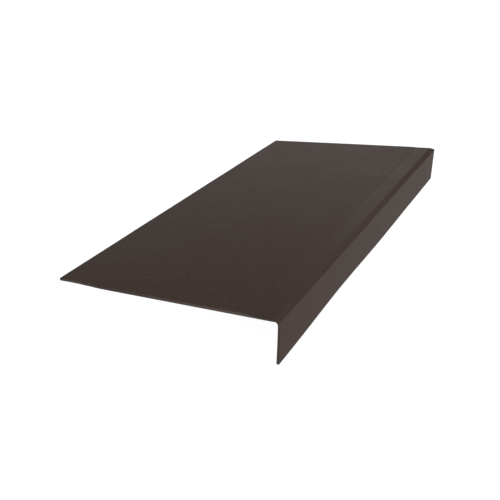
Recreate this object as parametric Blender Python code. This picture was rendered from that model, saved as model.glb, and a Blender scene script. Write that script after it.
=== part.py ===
"""Rubber stair tread with a square nose, moulded as one piece of brown rubber.

A flat sheet covers the step, and its front edge turns down as a lip over the step's edge. The
nose is bevelled, and a smooth band runs behind the bevel. The textured field stands a little
higher: a short ramp leads up to it from the band, and its front edge is softly rounded.

Metres, +Z up. X runs along the nose, and the nose faces -Y. The tread lies as it does when it is
put down on a floor: on the end of its lip and on its back edge. The origin is the middle of its
footprint, on the floor.
"""
from math import atan2, cos, radians, sin, tan

import bpy
from mathutils import Matrix, Vector

# Driving dimensions
TREAD_LENGTH = 0.6096
TREAD_DEPTH = 0.3112
SHEET_THICKNESS = 0.0029
LIP_DROP = 0.0571
LIP_THICKNESS = 0.0029
LIP_CLOSING_ANGLE = radians(6.5)
NOSE_BEVEL_DEPTH = 0.0090
NOSE_BEVEL_SLOPE = radians(13)
NOSE_BEVEL_RADIUS = 0.0060
NOSE_RADIUS = 0.0013
INNER_FILLET_RADIUS = 0.0035
NOSE_BAND_DEPTH = 0.0330
FIELD_RAMP_DEPTH = 0.0028
FIELD_RAMP_RISE = 0.0005
FIELD_RAMP_RADIUS = 0.0060
FIELD_SHOULDER_DEPTH = 0.0200
FIELD_SHOULDER_RISE = 0.0002
FIELD_SHOULDER_RADIUS = 1.0000
LIP_END_RADIUS = 0.0008
BACK_EDGE_RADIUS = 0.0006

# Sides of each rounded corner
NOSE_STEPS = 8
FILLET_STEPS = 8
EDGE_STEPS = 4

# Finish
RUBBER_COLOUR = (0.056, 0.043, 0.038, 1.0)
RUBBER_ROUGHNESS = 0.55

OBJECT_NAME = "rubber_stair_tread"
NODE_NAME = "stair_tread"


def clear_scene():
    for item in list(bpy.data.objects):
        bpy.data.objects.remove(item, do_unlink=True)


def rounded(before, corner, after, radius, steps):
    """The arc that rounds a corner of the section, tangent to both of its sides."""
    towards_before = (before - corner).normalized()
    towards_after = (after - corner).normalized()
    half_angle = towards_before.angle(towards_after) / 2
    bisector = (towards_before + towards_after).normalized()
    centre = corner + bisector * (radius / sin(half_angle))
    first = corner + towards_before * (radius / tan(half_angle)) - centre
    last = corner + towards_after * (radius / tan(half_angle)) - centre
    sweep = first.angle_signed(last)
    turns = (Matrix.Rotation(-sweep * step / steps, 2) for step in range(steps + 1))
    return [centre + turn @ first for turn in turns]


def section_corners():
    """Corners of the section with their radius and steps. y is the depth from the nose, where the
    band's plane meets the lip's, and z the height over the nose band."""
    down_the_lip = Vector((sin(LIP_CLOSING_ANGLE), -cos(LIP_CLOSING_ANGLE)))
    through_the_lip = Vector((cos(LIP_CLOSING_ANGLE), sin(LIP_CLOSING_ANGLE)))
    lip_end = down_the_lip * LIP_DROP
    lip_end_inside = lip_end + through_the_lip * LIP_THICKNESS
    inside_height = (-SHEET_THICKNESS - lip_end_inside.y) / cos(LIP_CLOSING_ANGLE)
    inner_corner = lip_end_inside - down_the_lip * inside_height
    fall = tan(NOSE_BEVEL_SLOPE)
    bevel_drop = NOSE_BEVEL_DEPTH * fall / (1 + tan(LIP_CLOSING_ANGLE) * fall)
    bevel_foot = down_the_lip * bevel_drop / cos(LIP_CLOSING_ANGLE)
    ramp_top = Vector((NOSE_BAND_DEPTH + FIELD_RAMP_DEPTH, FIELD_RAMP_RISE))
    shoulder_top = ramp_top + Vector((FIELD_SHOULDER_DEPTH, FIELD_SHOULDER_RISE))
    return [
        (Vector((TREAD_DEPTH, shoulder_top.y)), BACK_EDGE_RADIUS, EDGE_STEPS),
        (shoulder_top, FIELD_SHOULDER_RADIUS, EDGE_STEPS),
        (ramp_top, FIELD_RAMP_RADIUS, EDGE_STEPS),
        (Vector((NOSE_BAND_DEPTH, 0.0)), FIELD_RAMP_RADIUS, EDGE_STEPS),
        (Vector((NOSE_BEVEL_DEPTH, 0.0)), NOSE_BEVEL_RADIUS, NOSE_STEPS),
        (bevel_foot, NOSE_RADIUS, NOSE_STEPS),
        (lip_end, LIP_END_RADIUS, EDGE_STEPS),
        (lip_end_inside, LIP_END_RADIUS, EDGE_STEPS),
        (inner_corner, INNER_FILLET_RADIUS, FILLET_STEPS),
        (Vector((TREAD_DEPTH, -SHEET_THICKNESS)), BACK_EDGE_RADIUS, EDGE_STEPS),
    ]


def section_outline():
    corners = section_corners()
    outline = []
    for index, (corner, radius, steps) in enumerate(corners):
        before = corners[index - 1][0]
        after = corners[(index + 1) % len(corners)][0]
        outline += rounded(before, corner, after, radius, steps)
    return outline


def resting_slope(outline):
    """The slope of the line that touches both the lip's end and the back edge from below."""
    front_half = [point for point in outline if point.x < TREAD_DEPTH / 2]
    back_half = [point for point in outline if point.x > TREAD_DEPTH / 2]

    def slope_to(back):
        return max(atan2(back.y - front.y, back.x - front.x) for front in front_half)

    return min(slope_to(back) for back in back_half)


def rubber():
    material = bpy.data.materials.new("brown_rubber")
    material.use_nodes = True
    shader = material.node_tree.nodes["Principled BSDF"]
    shader.inputs["Base Color"].default_value = RUBBER_COLOUR
    shader.inputs["Roughness"].default_value = RUBBER_ROUGHNESS
    shader.inputs["Metallic"].default_value = 0.0
    return material


def stair_tread(outline, collection):
    """The section, extruded along the nose. Its own axes are depth, height and length."""
    curve = bpy.data.curves.new(NODE_NAME, "CURVE")
    curve.dimensions = "2D"
    curve.fill_mode = "BOTH"
    curve.extrude = TREAD_LENGTH / 2
    spline = curve.splines.new("POLY")
    spline.points.add(len(outline) - 1)
    for spot, point in zip(spline.points, outline):
        spot.co = (point.x, point.y, 0.0, 1.0)
    spline.use_cyclic_u = True
    curve.materials.append(rubber())
    tread = bpy.data.objects.new(NODE_NAME, curve)
    collection.objects.link(tread)
    return tread


def lay_on_floor(tread, outline, collection):
    """Hangs the tread on an empty that tips it back until it rests, and centres its footprint."""
    slope = resting_slope(outline)
    tip = Matrix.Rotation(-slope, 2)
    tipped = [tip @ point for point in outline]
    nose = min(point.x for point in tipped)
    back = max(point.x for point in tipped)
    lowest = min(point.y for point in tipped)
    rest = bpy.data.objects.new("resting_slope", None)
    rest.rotation_euler = (-slope, 0.0, 0.0)
    rest.location = (0.0, -(nose + back) / 2, -lowest)
    collection.objects.link(rest)
    depth_height_length = Matrix(((0, 0, 1), (1, 0, 0), (0, 1, 0)))
    tread.parent = rest
    tread.rotation_euler = depth_height_length.to_euler()


def main():
    clear_scene()
    collection = bpy.data.collections.new(OBJECT_NAME)
    bpy.context.scene.collection.children.link(collection)
    outline = section_outline()
    tread = stair_tread(outline, collection)
    lay_on_floor(tread, outline, collection)


main()
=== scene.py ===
"""A moulded rubber stair tread in a pale studio.

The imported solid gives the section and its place. This file gives the tread its grained skin, its
rubber and the light. Metres, +Z up, X along the nose, and the nose faces -Y.
"""
from math import ceil, cos, pi, radians, sin

import bmesh
import bpy
import numpy as np
from bpy.props import FloatProperty, FloatVectorProperty, PointerProperty
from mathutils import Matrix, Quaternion, Vector


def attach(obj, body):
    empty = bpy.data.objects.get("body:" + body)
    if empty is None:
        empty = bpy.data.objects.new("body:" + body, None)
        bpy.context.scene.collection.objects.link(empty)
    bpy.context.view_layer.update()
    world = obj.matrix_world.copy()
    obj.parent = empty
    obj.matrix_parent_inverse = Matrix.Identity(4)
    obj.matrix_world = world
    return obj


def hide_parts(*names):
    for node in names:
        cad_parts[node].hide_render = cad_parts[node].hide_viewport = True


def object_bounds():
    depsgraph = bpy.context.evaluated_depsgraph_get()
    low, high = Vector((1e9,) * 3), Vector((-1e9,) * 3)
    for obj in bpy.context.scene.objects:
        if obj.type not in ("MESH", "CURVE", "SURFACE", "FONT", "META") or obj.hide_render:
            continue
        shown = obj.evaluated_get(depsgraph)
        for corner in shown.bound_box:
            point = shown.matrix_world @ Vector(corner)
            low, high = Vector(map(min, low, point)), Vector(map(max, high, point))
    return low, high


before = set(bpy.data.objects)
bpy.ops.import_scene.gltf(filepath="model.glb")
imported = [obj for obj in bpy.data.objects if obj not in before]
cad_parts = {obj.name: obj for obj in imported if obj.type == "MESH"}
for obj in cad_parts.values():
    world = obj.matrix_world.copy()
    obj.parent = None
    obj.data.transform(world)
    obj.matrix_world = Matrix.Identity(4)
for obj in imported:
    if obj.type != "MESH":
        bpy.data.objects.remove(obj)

bl_info = {
    "name": "Rubber Stair Tread",
    "version": (1, 0, 0),
    "blender": (4, 5, 0),
    "location": "View3D > Sidebar > Stair Tread",
    "description": "Gives a packed stair tread its grained rubber skin and sets it in a pale studio",
    "category": "Object",
}

TREAD_NODE = "stair_tread"
ROOT_BODY = "root"
CAD_BOX = [list(corner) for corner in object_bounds()]
(NEAR_X, FRONT_Y, FLOOR_Z), (FAR_X, BACK_Y, TOP_Z) = CAD_BOX

# Reading the section: points this close are one, an end face is this deep, and the sides of the
# field turn by less than this from the first to the last
MERGE_DISTANCE = 1e-6
END_FACE_DEPTH = 1e-5
FIELD_TURN = radians(1.2)

# Laying out the skin's points: how close they come to a corner, how soon the field's grain is
# full, and the turns of the cut's worn edge, in degrees
CURVE_EASE = 0.0008
FIELD_FADE = 0.0008
EDGE_TURNS = (90.0, 45.0)

# Large pebbles, in pebble widths: where one may lie in its cell, how wide its creases are, how far
# into the cells the sheet starts, and how many spare cells are made for its far edges
PEBBLE_SPOTS = (0.1, 0.9)
CREASE_WIDTH = 0.45
CELLS_BEFORE = 1.5
SPARE_CELLS = 3
PEBBLE_SEED = 11

# Broad forms: the waves' lengths, and how far the lip's trim reaches behind the nose, the near cut's
# hollow along the nose and the painted highlight in from both cuts
WAVE_LENGTHS = (0.52, 0.37, 0.23, 0.16)
WAVE_SEED = 4
TRIM_SEED = 7
LIP_TRIM_REACH = 0.020
CUT_SHIFT_REACH = 0.040
CUT_HIGHLIGHT_WIDTH = 0.0020

# The skin's materials, and for each its roughness and the width and height of its fine pebbles
MOULDED, UNDERSIDE, CUT_END = range(3)
MOULDED_FINISH = (0.44, 0.0042, 0.00010)
SANDED_FINISH = (0.62, 0.0009, 0.00003)
CUT_FINISH = (0.58, 0.0007, 0.00003)
RUBBER_SHINE = 0.053

# Fine pebbles, in pebble widths: how far they are bent, how wide a crease is, how many patches of
# creases come to a pebble, and where in the patches' noise the creases start and are full
PEBBLE_BEND = 1.6
FINE_CREASE_WIDTH = 0.16
PATCH_SCALE = 0.55
PATCH_EDGE = (0.42, 0.60)
MIDDLE_OF_NOISE = (0.5, 0.5, 0.5)
GRAIN_ON_SMOOTH = 0.08

# Tone of the rubber: its clouds, then shares of its colour and steps of its roughness
CLOUDS_PER_METRE = 14.0
CLOUD_RANGE = (0.3, 0.7)
CLOUD_SHADES = (0.94, 1.06)
CLOUD_ROUGHER = 0.12
DUST_IN_CREASES = 0.07
# Painted highlight: how much lighter the field's edge is painted along the two cuts, in place of light
# caught on the worn edge
CUT_HIGHLIGHT_LIGHTER = 0.75
# Painted shade: how much darker the grained field is painted than the smooth band, in place of the
# shade among its pebbles
FIELD_PAINTED_SHADE = 0.02
FIELD_ROUGHER = 0.025

# Studio
SENSOR_WIDTH = 36.0
FLOOR_SIZE = 40.0
FLOOR_ROUGHNESS = 0.9
WHITE = (1.0, 1.0, 1.0, 1.0)
LIGHT_DISTANCE = 2.6
# Azimuth from +X towards +Y and elevation in degrees, width and height in metres, brightness
LIGHT_BOXES = {
    "back_card": (47.0, 8.0, 2.05, 0.72, 1.85),
    "back_side_card": (18.0, 17.0, 0.66, 0.82, 2.92),
    "front_left_box": (237.5, 29.0, 2.30, 2.30, 3.60),
    "front_right_box": (312.5, 20.0, 2.30, 1.50, 1.01),
    "left_box": (190.0, 32.5, 1.40, 2.00, 2.98),
    "overhead_box": (2.0, 65.0, 1.20, 1.20, 8.95),
}


class TreadSkinSettings(bpy.types.PropertyGroup):
    """Sizes of the relief on the tread's skin."""

    length_pitch: FloatProperty(
        name="Length pitch", unit="LENGTH", default=0.0018, min=0.0010, max=0.0100,
        description="Distance between the skin's points along the nose")
    field_pitch: FloatProperty(
        name="Field pitch", unit="LENGTH", default=0.0018, min=0.0010, max=0.0100,
        description="Distance between the skin's points across the grained field")
    plain_pitch: FloatProperty(
        name="Plain pitch", unit="LENGTH", default=0.0040, min=0.0010, max=0.0500,
        description="Distance between the skin's points across the nose band and the lip")
    hidden_pitch: FloatProperty(
        name="Hidden pitch", unit="LENGTH", default=0.0160, min=0.0010, max=0.0500,
        description="Distance between the skin's points across the underside")
    pebble_size: FloatProperty(
        name="Pebble size", unit="LENGTH", default=0.0060, min=0.0020, max=0.0200,
        description="Width of one large pebble of the leather grain")
    pebble_depth: FloatProperty(
        name="Pebble depth", unit="LENGTH", default=0.00012, min=0.0, max=0.0005,
        description="Depth of the creases between the large pebbles")
    wave_depth: FloatProperty(
        name="Wave depth", unit="LENGTH", default=0.0003, min=0.0, max=0.0010,
        description="Depth of the broad dips in the soft sheet")
    trim_wander: FloatProperty(
        name="Trim wander", unit="LENGTH", default=0.0003, min=0.0, max=0.0020,
        description="How far the lip's end and the back edge stray from a straight line")
    lip_hollow_rise: FloatProperty(
        name="Lip hollow rise", unit="LENGTH", default=0.0038, min=0.0, max=0.0100,
        description="How far the lip's end rises in the long hollow along it")
    lip_hollow_place: FloatProperty(
        name="Lip hollow place", unit="LENGTH", default=-0.1250,
        description="Where the middle of the hollow in the lip's end is, along the nose")
    lip_hollow_reach: FloatProperty(
        name="Lip hollow reach", unit="LENGTH", default=0.1700, min=0.0100,
        description="Distance from the middle of the hollow to where the lip's end is straight again")
    lip_end_swell: FloatProperty(
        name="Lip end swell", unit="LENGTH", default=0.0009, min=0.0, max=0.0030,
        description="How much thicker the lip gets on its inner side, towards its end")
    cut_hollow_depth: FloatProperty(
        name="Cut hollow depth", unit="LENGTH", default=0.0024, min=0.0, max=0.0100,
        description="How far the near cut is drawn in near its back corner")
    cut_hollow_place: FloatProperty(
        name="Cut hollow place", unit="LENGTH", default=0.1380,
        description="Where the middle of the hollow in the near cut is, from nose to back")
    cut_hollow_reach: FloatProperty(
        name="Cut hollow reach", unit="LENGTH", default=0.0600, min=0.0100,
        description="Distance from the middle of that hollow to where the cut is straight again")
    cut_edge_round: FloatProperty(
        name="Cut edge round", unit="LENGTH", default=0.0003, min=0.0001, max=0.0010,
        description="Radius of the worn edge round the two cut ends")


class TreadRubberSettings(bpy.types.PropertyGroup):
    """Colours of the rubber."""

    moulded_colour: FloatVectorProperty(
        name="Moulded colour", subtype="COLOR", size=3, default=(0.0340, 0.0205, 0.0152),
        min=0, max=1, description="Colour of the moulded face")
    underside_colour: FloatVectorProperty(
        name="Underside colour", subtype="COLOR", size=3, default=(0.0310, 0.0195, 0.0150),
        min=0, max=1, description="Colour of the sanded underside")
    cut_colour: FloatVectorProperty(
        name="Cut colour", subtype="COLOR", size=3, default=(0.0450, 0.0360, 0.0335),
        min=0, max=1, description="Colour of the rubber where the moulding was cut to length")


class TreadStudioSettings(bpy.types.PropertyGroup):
    """Camera, floor and lights."""

    camera_place: FloatVectorProperty(
        name="Camera place", subtype="TRANSLATION", unit="LENGTH", size=3,
        default=(-0.8258, -0.3757, 0.4600), description="Where the camera stands")
    camera_aim: FloatVectorProperty(
        name="Camera aim", subtype="TRANSLATION", unit="LENGTH", size=3,
        default=(-0.1610, -0.0389, 0.0379), description="The point in the middle of the picture")
    camera_roll: FloatProperty(
        name="Camera roll", subtype="ANGLE", unit="ROTATION", default=radians(3.39),
        description="Turn of the camera about its line of sight")
    lens: FloatProperty(
        name="Lens", default=48.12, min=1.0,
        description="Focal length in millimetres, on a sensor 36 mm wide")
    floor_colour: FloatVectorProperty(
        name="Floor colour", subtype="COLOR", size=3, default=(0.10, 0.10, 0.10), min=0, max=1,
        description="Colour of the frosted floor")
    floor_glow: FloatProperty(
        name="Floor glow", default=0.97, min=0.0,
        description="Brightness of the floor's own light, where 1 is white")
    sky_strength: FloatProperty(
        name="Sky strength", default=0.03, min=0.0,
        description="Brightness of the dark room round the lights")
    light_level: FloatProperty(
        name="Light level", default=1.0, min=0.0,
        description="Brightness of all the light boxes together")


# The section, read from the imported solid


def node_section(node):
    """The section's corners in order, as (y, z), read from the node's end face."""
    shape = bmesh.new()
    shape.from_mesh(node.data)
    bmesh.ops.remove_doubles(shape, verts=shape.verts, dist=MERGE_DISTANCE)
    near_end = min(vert.co.x for vert in shape.verts)
    at_end = {vert for vert in shape.verts if vert.co.x < near_end + END_FACE_DEPTH}
    neighbours = {}
    for edge in shape.edges:
        inside_cap = all(vert in at_end for face in edge.link_faces for vert in face.verts)
        if all(vert in at_end for vert in edge.verts) and not inside_cap:
            first, second = edge.verts
            neighbours.setdefault(first, []).append(second)
            neighbours.setdefault(second, []).append(first)
    start = max(neighbours, key=lambda vert: vert.co.y + vert.co.z)
    loop = [start, neighbours[start][0]]
    while loop[-1] is not start:
        onward = [vert for vert in neighbours[loop[-1]] if vert is not loop[-2]]
        loop.append(onward[0])
    corners = [Vector((vert.co.y, vert.co.z)) for vert in loop[:-1]]
    shape.free()
    turning = sum(a.cross(b) for a, b in zip(corners, corners[1:] + corners[:1]))
    return corners if turning > 0 else corners[::-1]


def field_run(sides):
    """The sides of the grained field in walking order: the longest side that faces up, and the
    sides beyond it that are nearly in line with it."""
    run = [max(range(len(sides)), key=lambda index: -sides[index].x)]
    while sides[run[0]].angle(sides[(run[-1] + 1) % len(sides)]) < FIELD_TURN:
        run.append((run[-1] + 1) % len(sides))
    return run


def side_marks(length, pitch, eased):
    """Shares of the way along a side where points go. An eased side has one more by each corner."""
    steps = max(1, ceil(length / pitch))
    marks = {step / steps for step in range(steps)}
    if eased and length > pitch:
        marks |= {CURVE_EASE / length, 1 - CURVE_EASE / length}
    return sorted(marks)


def field_share(walked_in, field_length):
    """How much of the field's grain there is, this far in from the field's first edge."""
    from_edge = min(walked_in, field_length - walked_in)
    return min(1.0, max(0.0, from_edge) / FIELD_FADE)


def outward_and_lengths(points):
    """The direction out of the section at each point, and how far the next point is."""
    steps = np.roll(points, -1, axis=0) - points
    lengths = np.linalg.norm(steps, axis=1)
    headings = steps / lengths[:, None]
    headings = headings + np.roll(headings, 1, axis=0)
    outward = np.stack([headings[:, 1], -headings[:, 0]], axis=1)
    return outward / np.linalg.norm(outward, axis=1)[:, None], lengths


def section_stations(corners, skin):
    """Points round the section, close together where the skin has relief.

    For each point there is the outward direction, the distance walked round the section, how much
    of the field's grain it has, and whether the side that starts there is the underside.
    """
    sides = [after - before for before, after in zip(corners, corners[1:] + corners[:1])]
    field = field_run(sides)
    field_length = sum(sides[index].length for index in field)
    hidden = max(range(len(sides)), key=lambda index: sides[index].x)
    pitches = {hidden: skin.hidden_pitch, **dict.fromkeys(field, skin.field_pitch)}
    points, grain, underside = [], [], []
    for index, (corner, side) in enumerate(zip(corners, sides)):
        pitch = pitches.get(index, skin.plain_pitch)
        marks = side_marks(side.length, pitch, eased=index not in field)
        points += [corner + side * mark for mark in marks]
        underside += [index == hidden] * len(marks)
        if index in field:
            passed = sum(sides[other].length for other in field[:field.index(index)])
            grain += [field_share(passed + mark * side.length, field_length) for mark in marks]
        else:
            grain += [0.0] * len(marks)
    points = np.array(points)
    outward, lengths = outward_and_lengths(points)
    return points, outward, np.cumsum(lengths) - lengths, np.array(grain), np.array(underside)


def length_stations(skin):
    """Places along the nose, and how far the section is drawn in there by the cut's worn edge."""
    turn = np.radians(EDGE_TURNS)
    inset = skin.cut_edge_round * (1 - np.sin(turn))
    drawn_in = skin.cut_edge_round * (1 - np.cos(turn))
    first, last = NEAR_X + skin.cut_edge_round, FAR_X - skin.cut_edge_round
    middle = np.linspace(first, last, ceil((last - first) / skin.length_pitch) + 1)
    along = np.concatenate([NEAR_X + inset, middle, FAR_X - inset[::-1]])
    return along, np.concatenate([drawn_in, np.zeros(len(middle)), drawn_in[::-1]])


# Relief


def pebble_creases(along, across, size):
    """1 in the creases of an irregular pebble grain, falling to 0 on the pebbles."""
    draw = np.random.RandomState(PEBBLE_SEED)
    u = (along - along.min()) / size + CELLS_BEFORE
    v = (across - across.min()) / size + CELLS_BEFORE
    cells = (int(u.max()) + SPARE_CELLS, int(v.max()) + SPARE_CELLS, 2)
    spots = draw.uniform(*PEBBLE_SPOTS, cells)
    nearest = np.full(u.shape, np.inf)
    second = np.full(u.shape, np.inf)
    for column_step in (-1, 0, 1):
        for row_step in (-1, 0, 1):
            column = np.floor(u).astype(int) + column_step
            row = np.floor(v).astype(int) + row_step
            spot = spots[column, row]
            distance = np.hypot(column + spot[..., 0] - u, row + spot[..., 1] - v)
            second = np.minimum(second, np.maximum(nearest, distance))
            nearest = np.minimum(nearest, distance)
    rise = np.clip((second - nearest) / CREASE_WIDTH, 0.0, 1.0)
    return 1 - rise * rise * (3 - 2 * rise)


def broad_waves(along, across, seed):
    """A smooth value from 0 to 1, with waves as long as WAVE_LENGTHS."""
    draw = np.random.RandomState(seed)
    total = 0.0
    for length in WAVE_LENGTHS:
        heading, phase = draw.uniform(0.0, 2 * pi, 2)
        travel = along * np.cos(heading) + across * np.sin(heading)
        total = total + np.sin(travel * 2 * pi / length + phase)
    return 0.5 + total / (2 * len(WAVE_LENGTHS))


def hollow(places, middle, reach):
    """1 in the middle of a hollow, easing to 0 at its reach on both sides."""
    away = np.clip(np.abs(places - middle) / reach, 0, 1)
    return (1 + np.cos(pi * away)) / 2


def relief_depth(along, around, grain, underside, skin):
    """How deep the skin lies under the solid's face, in the creases and in the broad dips. The
    underside has none, up to both of its edges."""
    moulded = ~underside & ~np.roll(underside, 1)
    creases = pebble_creases(along, around, skin.pebble_size) * grain
    dips = (1 - broad_waves(along, around, WAVE_SEED)) * moulded
    return creases * skin.pebble_depth + dips * skin.wave_depth


def trim_shift(along, points, outward, skin):
    """How far the lip's end is drawn up, its inner side swells and the back edge is drawn in, as
    (y, z) at each point."""
    on_lip = np.clip(1 - (points[:, 0] - FRONT_Y) / LIP_TRIM_REACH, 0, 1)
    down_lip = np.clip(1 - (points[:, 1] - FLOOR_Z) / (TOP_Z - FLOOR_Z), 0, 1)
    inner_side = (on_lip > 0) * np.clip(outward[:, 0], 0, 1)
    swell = skin.lip_end_swell * inner_side * down_lip ** 2
    to_back = np.clip((points[:, 0] - FRONT_Y) / (BACK_Y - FRONT_Y), 0, 1) ** 2
    lip_wander = broad_waves(along, np.zeros_like(along), TRIM_SEED) * skin.trim_wander
    back_wander = broad_waves(along, np.ones_like(along), TRIM_SEED + 1) * skin.trim_wander
    lip_hollow = hollow(along, skin.lip_hollow_place, skin.lip_hollow_reach)
    drawn_up = lip_wander + skin.lip_hollow_rise * lip_hollow
    return swell - np.outer(back_wander, to_back), np.outer(drawn_up, on_lip * down_lip)


def cut_shift(along, points, skin):
    """How far the near cut is drawn in by the hollow near its back corner, as x at each point."""
    by_cut = np.clip(1 - (along - NEAR_X) / CUT_SHIFT_REACH, 0, 1)
    cut_hollow = hollow(points[:, 0], skin.cut_hollow_place, skin.cut_hollow_reach)
    return np.outer(by_cut, skin.cut_hollow_depth * cut_hollow)


def cut_edge_highlight(along, grain):
    """A painted highlight: 1 on the field's edge at the two cuts, falling to 0 over the width of the
    highlight.
    """
    from_cut = np.minimum(along - along[0], along[-1] - along)
    return np.outer(np.clip(1 - from_cut / CUT_HIGHLIGHT_WIDTH, 0, 1), grain)


# The skin


def capped_tube(columns, ring):
    """Faces that join each ring of points to the next one, and at last the two caps."""
    numbers = np.arange(columns * ring).reshape(columns, ring)
    ahead = np.roll(numbers, -1, axis=1)
    sides = np.stack([numbers[:-1], ahead[:-1], ahead[1:], numbers[1:]], axis=2).reshape(-1, 4)
    return sides.tolist() + [numbers[0, ::-1].tolist(), numbers[-1].tolist()]


def store_on_points(mesh, name, kind, field, values):
    """Keeps a value for each point of the mesh, for its materials to read."""
    attribute = mesh.attributes.new(name, kind, "POINT")
    attribute.data.foreach_set(field, values.astype(np.float32).ravel())


def tread_skin(skin, materials):
    """One closed skin: the section with its relief, carried along the nose and capped."""
    corners = node_section(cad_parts[TREAD_NODE])
    points, outward, walked, grain, underside = section_stations(corners, skin)
    along, drawn_in = length_stations(skin)
    lengthwise, around = np.meshgrid(along, walked, indexing="ij")
    depth = relief_depth(lengthwise, around, grain, underside, skin) + drawn_in[:, None]
    place = points - outward * depth[:, :, None]
    shift_y, shift_z = trim_shift(along, points, outward, skin)
    x = lengthwise + cut_shift(along, points, skin)
    verts = np.stack([x, place[..., 0] + shift_y, place[..., 1] + shift_z], axis=2)

    mesh = bpy.data.meshes.new("rubber_tread")
    mesh.from_pydata(verts.reshape(-1, 3).tolist(), [], capped_tube(*lengthwise.shape))
    for material in materials:
        mesh.materials.append(material)
    kinds = np.tile(np.where(underside, UNDERSIDE, MOULDED), len(along) - 1)
    kinds = np.append(kinds, [CUT_END, CUT_END])
    mesh.polygons.foreach_set("material_index", kinds.astype(np.int32))
    mesh.polygons.foreach_set("use_smooth", kinds != CUT_END)
    laid_out = np.stack([lengthwise, around, np.zeros_like(around)], axis=2)
    store_on_points(mesh, "laid_out", "FLOAT_VECTOR", "vector", laid_out)
    store_on_points(mesh, "field_grain", "FLOAT", "value", np.tile(grain, len(along)))
    # A painted highlight along the field's edge at the two cuts, for the materials to read
    store_on_points(mesh, "cut_edge_highlight", "FLOAT", "value", cut_edge_highlight(along, grain))
    mesh.update()
    tread = bpy.data.objects.new("rubber_tread", mesh)
    bpy.context.scene.collection.objects.link(tread)
    return tread


# Shader helpers


def fill(tree, socket, value):
    """Links a socket to another one, or sets its value."""
    if isinstance(value, bpy.types.NodeSocket):
        tree.links.new(value, socket)
    else:
        socket.default_value = value


def add_node(tree, kind, settings=None, **inputs):
    """A node with its settings and its inputs, where _ in an input's name stands for a space."""
    node = tree.nodes.new(kind)
    for name, value in (settings or {}).items():
        setattr(node, name, value)
    for name, value in inputs.items():
        fill(tree, node.inputs[name.replace("_", " ")], value)
    return node


def calculate(tree, operation, *values):
    """The result of a maths node with these values, in the order of its sockets."""
    node = add_node(tree, "ShaderNodeMath", {"operation": operation})
    for socket, value in zip(node.inputs, values):
        fill(tree, socket, value)
    return node.outputs[0]


def calculate_vector(tree, operation, *vectors, **inputs):
    """The result of a vector maths node, with its vectors in order and other inputs by name."""
    node = add_node(tree, "ShaderNodeVectorMath", {"operation": operation}, **inputs)
    for socket, vector in zip(node.inputs, vectors):
        fill(tree, socket, vector)
    return node.outputs[0]


def carry_over(tree, value, source, target, interpolation="LINEAR"):
    """The value, carried from the source's range to the target's and held inside it."""
    node = add_node(
        tree, "ShaderNodeMapRange", {"interpolation_type": interpolation}, Value=value,
        From_Min=source[0], From_Max=source[1], To_Min=target[0], To_Max=target[1])
    return node.outputs[0]


def read_from_points(tree, name):
    """The outputs of a node that reads what is kept for the mesh's points."""
    return add_node(tree, "ShaderNodeAttribute", {"attribute_name": name}).outputs


def new_group(name, inputs, outputs):
    """A shader node group with named sockets. Gives the tree, its inputs and its output node's
    sockets."""
    tree = bpy.data.node_groups.new(name, "ShaderNodeTree")
    for label, kind in inputs:
        tree.interface.new_socket(label, in_out="INPUT", socket_type=kind)
    for label, kind in outputs:
        tree.interface.new_socket(label, in_out="OUTPUT", socket_type=kind)
    return tree, tree.nodes.new("NodeGroupInput").outputs, tree.nodes.new("NodeGroupOutput").inputs


# Rubber


def leather_grain_group():
    """Pebbles with creases between them. Height is in metres, and Crease is a mask."""
    tree, inputs, outputs = new_group(
        "leather_grain",
        [("Place", "NodeSocketVector"), ("Pebble Width", "NodeSocketFloat"),
         ("Pebble Height", "NodeSocketFloat"), ("Amount", "NodeSocketFloat")],
        [("Height", "NodeSocketFloat"), ("Crease", "NodeSocketFloat")])
    place = inputs["Place"]
    per_metre = calculate(tree, "DIVIDE", 1.0, inputs["Pebble Width"])
    noise = add_node(tree, "ShaderNodeTexNoise", Vector=place, Scale=per_metre, Detail=2.0)
    every_way = calculate_vector(tree, "SUBTRACT", noise.outputs["Color"], MIDDLE_OF_NOISE)
    bend = calculate(tree, "MULTIPLY", inputs["Pebble Width"], PEBBLE_BEND)
    bent = calculate_vector(
        tree, "ADD", place, calculate_vector(tree, "SCALE", every_way, Scale=bend))
    cells = add_node(
        tree, "ShaderNodeTexVoronoi", {"feature": "DISTANCE_TO_EDGE"},
        Vector=bent, Scale=per_metre, Randomness=1.0)
    crease = carry_over(
        tree, cells.outputs["Distance"], (0.0, FINE_CREASE_WIDTH), (1.0, 0.0), "SMOOTHSTEP")
    patches = add_node(
        tree, "ShaderNodeTexNoise", Vector=place, Detail=1.0,
        Scale=calculate(tree, "MULTIPLY", per_metre, PATCH_SCALE))
    in_patch = carry_over(tree, patches.outputs[0], PATCH_EDGE, (0.0, 1.0), "SMOOTHSTEP")
    share = calculate(tree, "MULTIPLY", in_patch, inputs["Amount"])
    mask = calculate(tree, "MULTIPLY", crease, share)
    sunk = calculate(tree, "MULTIPLY", inputs["Pebble Height"], -1.0)
    tree.links.new(calculate(tree, "MULTIPLY", mask, sunk), outputs["Height"])
    tree.links.new(mask, outputs["Crease"])
    return tree


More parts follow.
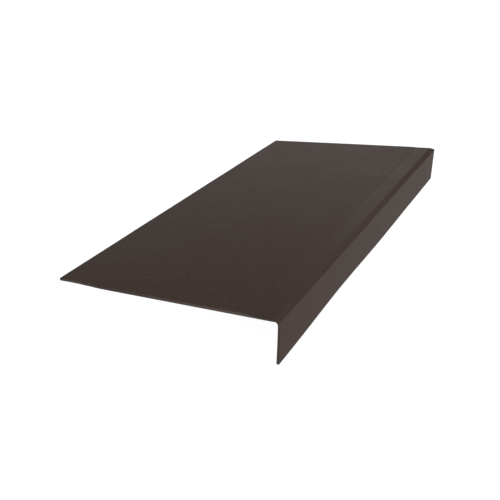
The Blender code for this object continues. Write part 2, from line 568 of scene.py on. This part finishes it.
def rubber_tone_group():
    """Slow mottling of a colour, dust in the creases, a painted highlight along the cut edges, painted
    shade on the grained field, and the roughness with them.
    """
    tree, inputs, outputs = new_group(
        "rubber_tone",
        [("Colour", "NodeSocketColor"), ("Place", "NodeSocketVector"), ("Crease", "NodeSocketFloat"),
         ("Grain", "NodeSocketFloat"), ("Scuff", "NodeSocketFloat"), ("Roughness", "NodeSocketFloat")],
        [("Colour", "NodeSocketColor"), ("Roughness", "NodeSocketFloat")])
    noise = add_node(
        tree, "ShaderNodeTexNoise", Vector=inputs["Place"], Scale=CLOUDS_PER_METRE, Detail=5.0)
    clouds = noise.outputs[0]
    lightness = carry_over(tree, clouds, CLOUD_RANGE, CLOUD_SHADES)
    # Painted highlight along the cut edges
    edge_lit = calculate(tree, "MULTIPLY_ADD", inputs["Scuff"], CUT_HIGHLIGHT_LIGHTER, 1.0)
    # Painted shade on the grained field
    shaded = calculate(tree, "MULTIPLY_ADD", inputs["Grain"], -FIELD_PAINTED_SHADE, edge_lit)
    # Real dust in the creases, on top of the painted highlight and painted shade
    dust_and_painted_light = calculate(tree, "MULTIPLY_ADD", inputs["Crease"], DUST_IN_CREASES, shaded)
    tone = calculate(tree, "MULTIPLY", lightness, dust_and_painted_light)
    rough = calculate(tree, "MULTIPLY_ADD", inputs["Grain"], FIELD_ROUGHER, inputs["Roughness"])
    worn = calculate(tree, "MULTIPLY_ADD", clouds, CLOUD_ROUGHER, rough)
    toned = calculate_vector(tree, "SCALE", inputs["Colour"], Scale=tone)
    tree.links.new(toned, outputs["Colour"])
    tree.links.new(worn, outputs["Roughness"])
    return tree


def laid_out_place(tree):
    """Place on the sheet as if it were rolled flat, so that the grain follows the bend."""
    return read_from_points(tree, "laid_out")["Vector"]


def object_place(tree):
    return add_node(tree, "ShaderNodeTexCoord").outputs["Object"]


def mostly_on_field(tree):
    """Full grain on the field, and a trace of it on the smooth band and the lip."""
    field = read_from_points(tree, "field_grain")["Fac"]
    return calculate(tree, "MULTIPLY_ADD", field, 1.0 - GRAIN_ON_SMOOTH, GRAIN_ON_SMOOTH)


def all_over(tree):
    return 1.0


def rubber_material(name, colour, finish, place, amount, groups):
    """One finish of the rubber. place and amount say where its grain lies and how strong it is."""
    roughness, pebble_width, pebble_height = finish
    material = bpy.data.materials.new(name)
    material.use_nodes = True
    tree = material.node_tree
    shader = tree.nodes["Principled BSDF"]
    where, share = place(tree), amount(tree)
    grain = add_node(
        tree, "ShaderNodeGroup", {"node_tree": groups["grain"]}, Place=where,
        Pebble_Width=pebble_width, Pebble_Height=pebble_height, Amount=share)
    tone = add_node(
        tree, "ShaderNodeGroup", {"node_tree": groups["tone"]}, Colour=(*colour, 1.0),
        Place=where, Crease=grain.outputs["Crease"], Grain=share,
        Scuff=read_from_points(tree, "cut_edge_highlight")["Fac"], Roughness=roughness)
    bump = add_node(tree, "ShaderNodeBump", Height=grain.outputs["Height"], Distance=1.0)
    tree.links.new(tone.outputs["Colour"], shader.inputs["Base Color"])
    tree.links.new(tone.outputs["Roughness"], shader.inputs["Roughness"])
    tree.links.new(bump.outputs["Normal"], shader.inputs["Normal"])
    shader.inputs["Specular IOR Level"].default_value = RUBBER_SHINE
    return material


def tread_materials(rubber):
    """The materials in the order of MOULDED, UNDERSIDE and CUT_END."""
    groups = {"grain": leather_grain_group(), "tone": rubber_tone_group()}
    return [
        rubber_material("moulded_rubber", rubber.moulded_colour, MOULDED_FINISH,
                        laid_out_place, mostly_on_field, groups),
        rubber_material("sanded_underside", rubber.underside_colour, SANDED_FINISH,
                        laid_out_place, all_over, groups),
        rubber_material("cut_rubber", rubber.cut_colour, CUT_FINISH,
                        object_place, all_over, groups),
    ]


class OBJECT_OT_rubber_tread(bpy.types.Operator):
    """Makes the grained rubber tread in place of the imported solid"""

    bl_idname = "object.rubber_tread"
    bl_label = "Rubber Tread"
    bl_options = {"REGISTER", "UNDO"}

    def execute(self, context):
        materials = tread_materials(context.scene.tread_rubber)
        tread = tread_skin(context.scene.tread_skin, materials)
        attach(tread, ROOT_BODY)
        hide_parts(TREAD_NODE)
        return {"FINISHED"}


# Studio


def studio_floor(colour, glow):
    """A frosted white floor, lit from below as on a light table, so that its shadows are faint."""
    material = bpy.data.materials.new("frosted_floor")
    material.use_nodes = True
    shader = material.node_tree.nodes["Principled BSDF"]
    shader.inputs["Base Color"].default_value = (*colour, 1.0)
    shader.inputs["Roughness"].default_value = FLOOR_ROUGHNESS
    shader.inputs["Specular IOR Level"].default_value = 0.0
    shader.inputs["Emission Color"].default_value = WHITE
    shader.inputs["Emission Strength"].default_value = glow
    bpy.ops.mesh.primitive_plane_add(size=FLOOR_SIZE, location=(0.0, 0.0, FLOOR_Z))
    floor = bpy.context.object
    floor.name = "studio_floor"
    floor.data.materials.append(material)


def dark_room(strength):
    """A dim world for the rubber to reflect, with a pale wall behind it for the picture."""
    world = bpy.data.worlds.new("dark_room")
    world.use_nodes = True
    tree = world.node_tree
    seen_directly = tree.nodes.new("ShaderNodeLightPath").outputs["Is Camera Ray"]
    brightness = calculate(tree, "MAXIMUM", seen_directly, strength)
    tree.links.new(brightness, tree.nodes["Background"].inputs["Strength"])
    tree.nodes["Background"].inputs["Color"].default_value = WHITE
    bpy.context.scene.world = world


def light_box(name, azimuth, elevation, width, height, brightness):
    """A rectangle of even light that faces the tread. Its energy goes with its area, so that the
    brightness of its face stays the same when its size is changed."""
    turn, rise = radians(azimuth), radians(elevation)
    place = LIGHT_DISTANCE * Vector((cos(rise) * cos(turn), cos(rise) * sin(turn), sin(rise)))
    light = bpy.data.lights.new(name, "AREA")
    light.shape = "RECTANGLE"
    light.size, light.size_y = width, height
    light.energy = brightness * pi * width * height
    box = bpy.data.objects.new(name, light)
    box.location = place
    box.rotation_euler = (-place).to_track_quat("-Z", "Y").to_euler()
    box.visible_camera = False
    bpy.context.scene.collection.objects.link(box)


def studio_camera(studio):
    lens = bpy.data.cameras.new("camera")
    lens.lens = studio.lens
    lens.sensor_width = SENSOR_WIDTH
    camera = bpy.data.objects.new("camera", lens)
    line_of_sight = Vector(studio.camera_aim) - Vector(studio.camera_place)
    turn = line_of_sight.to_track_quat("-Z", "Y") @ Quaternion((0, 0, 1), studio.camera_roll)
    camera.rotation_euler = turn.to_euler()
    camera.location = studio.camera_place
    bpy.context.scene.collection.objects.link(camera)
    bpy.context.scene.camera = camera


class OBJECT_OT_tread_studio(bpy.types.Operator):
    """Sets up the pale floor, the soft light and the camera"""

    bl_idname = "object.tread_studio"
    bl_label = "Tread Studio"
    bl_options = {"REGISTER", "UNDO"}

    def execute(self, context):
        studio = context.scene.tread_studio
        studio_floor(studio.floor_colour, studio.floor_glow)
        dark_room(studio.sky_strength)
        for name, (*place_and_size, brightness) in LIGHT_BOXES.items():
            light_box(name, *place_and_size, brightness * studio.light_level)
        studio_camera(studio)
        context.scene.view_settings.view_transform = "Standard"
        return {"FINISHED"}


class VIEW3D_PT_stair_tread(bpy.types.Panel):
    """Lists the settings and the steps that make the tread and its studio"""

    bl_label = "Stair Tread"
    bl_idname = "VIEW3D_PT_stair_tread"
    bl_space_type = "VIEW_3D"
    bl_region_type = "UI"
    bl_category = "Stair Tread"

    def draw(self, context):
        for group, operator in SETTINGS_AND_STEPS:
            box = self.layout.box()
            settings = getattr(context.scene, group)
            for name in settings.__annotations__:
                box.prop(settings, name)
            if operator:
                box.operator(operator)


SETTINGS_AND_STEPS = (
    ("tread_skin", None),
    ("tread_rubber", OBJECT_OT_rubber_tread.bl_idname),
    ("tread_studio", OBJECT_OT_tread_studio.bl_idname),
)
CLASSES = (
    TreadSkinSettings,
    TreadRubberSettings,
    TreadStudioSettings,
    OBJECT_OT_rubber_tread,
    OBJECT_OT_tread_studio,
    VIEW3D_PT_stair_tread,
)


def register():
    for item in CLASSES:
        bpy.utils.register_class(item)
    bpy.types.Scene.tread_skin = PointerProperty(type=TreadSkinSettings)
    bpy.types.Scene.tread_rubber = PointerProperty(type=TreadRubberSettings)
    bpy.types.Scene.tread_studio = PointerProperty(type=TreadStudioSettings)


def unregister():
    del bpy.types.Scene.tread_studio
    del bpy.types.Scene.tread_rubber
    del bpy.types.Scene.tread_skin
    for item in reversed(CLASSES):
        bpy.utils.unregister_class(item)


def main():
    register()
    bpy.ops.object.rubber_tread()
    bpy.ops.object.tread_studio()


if __name__ == "__main__":
    main()
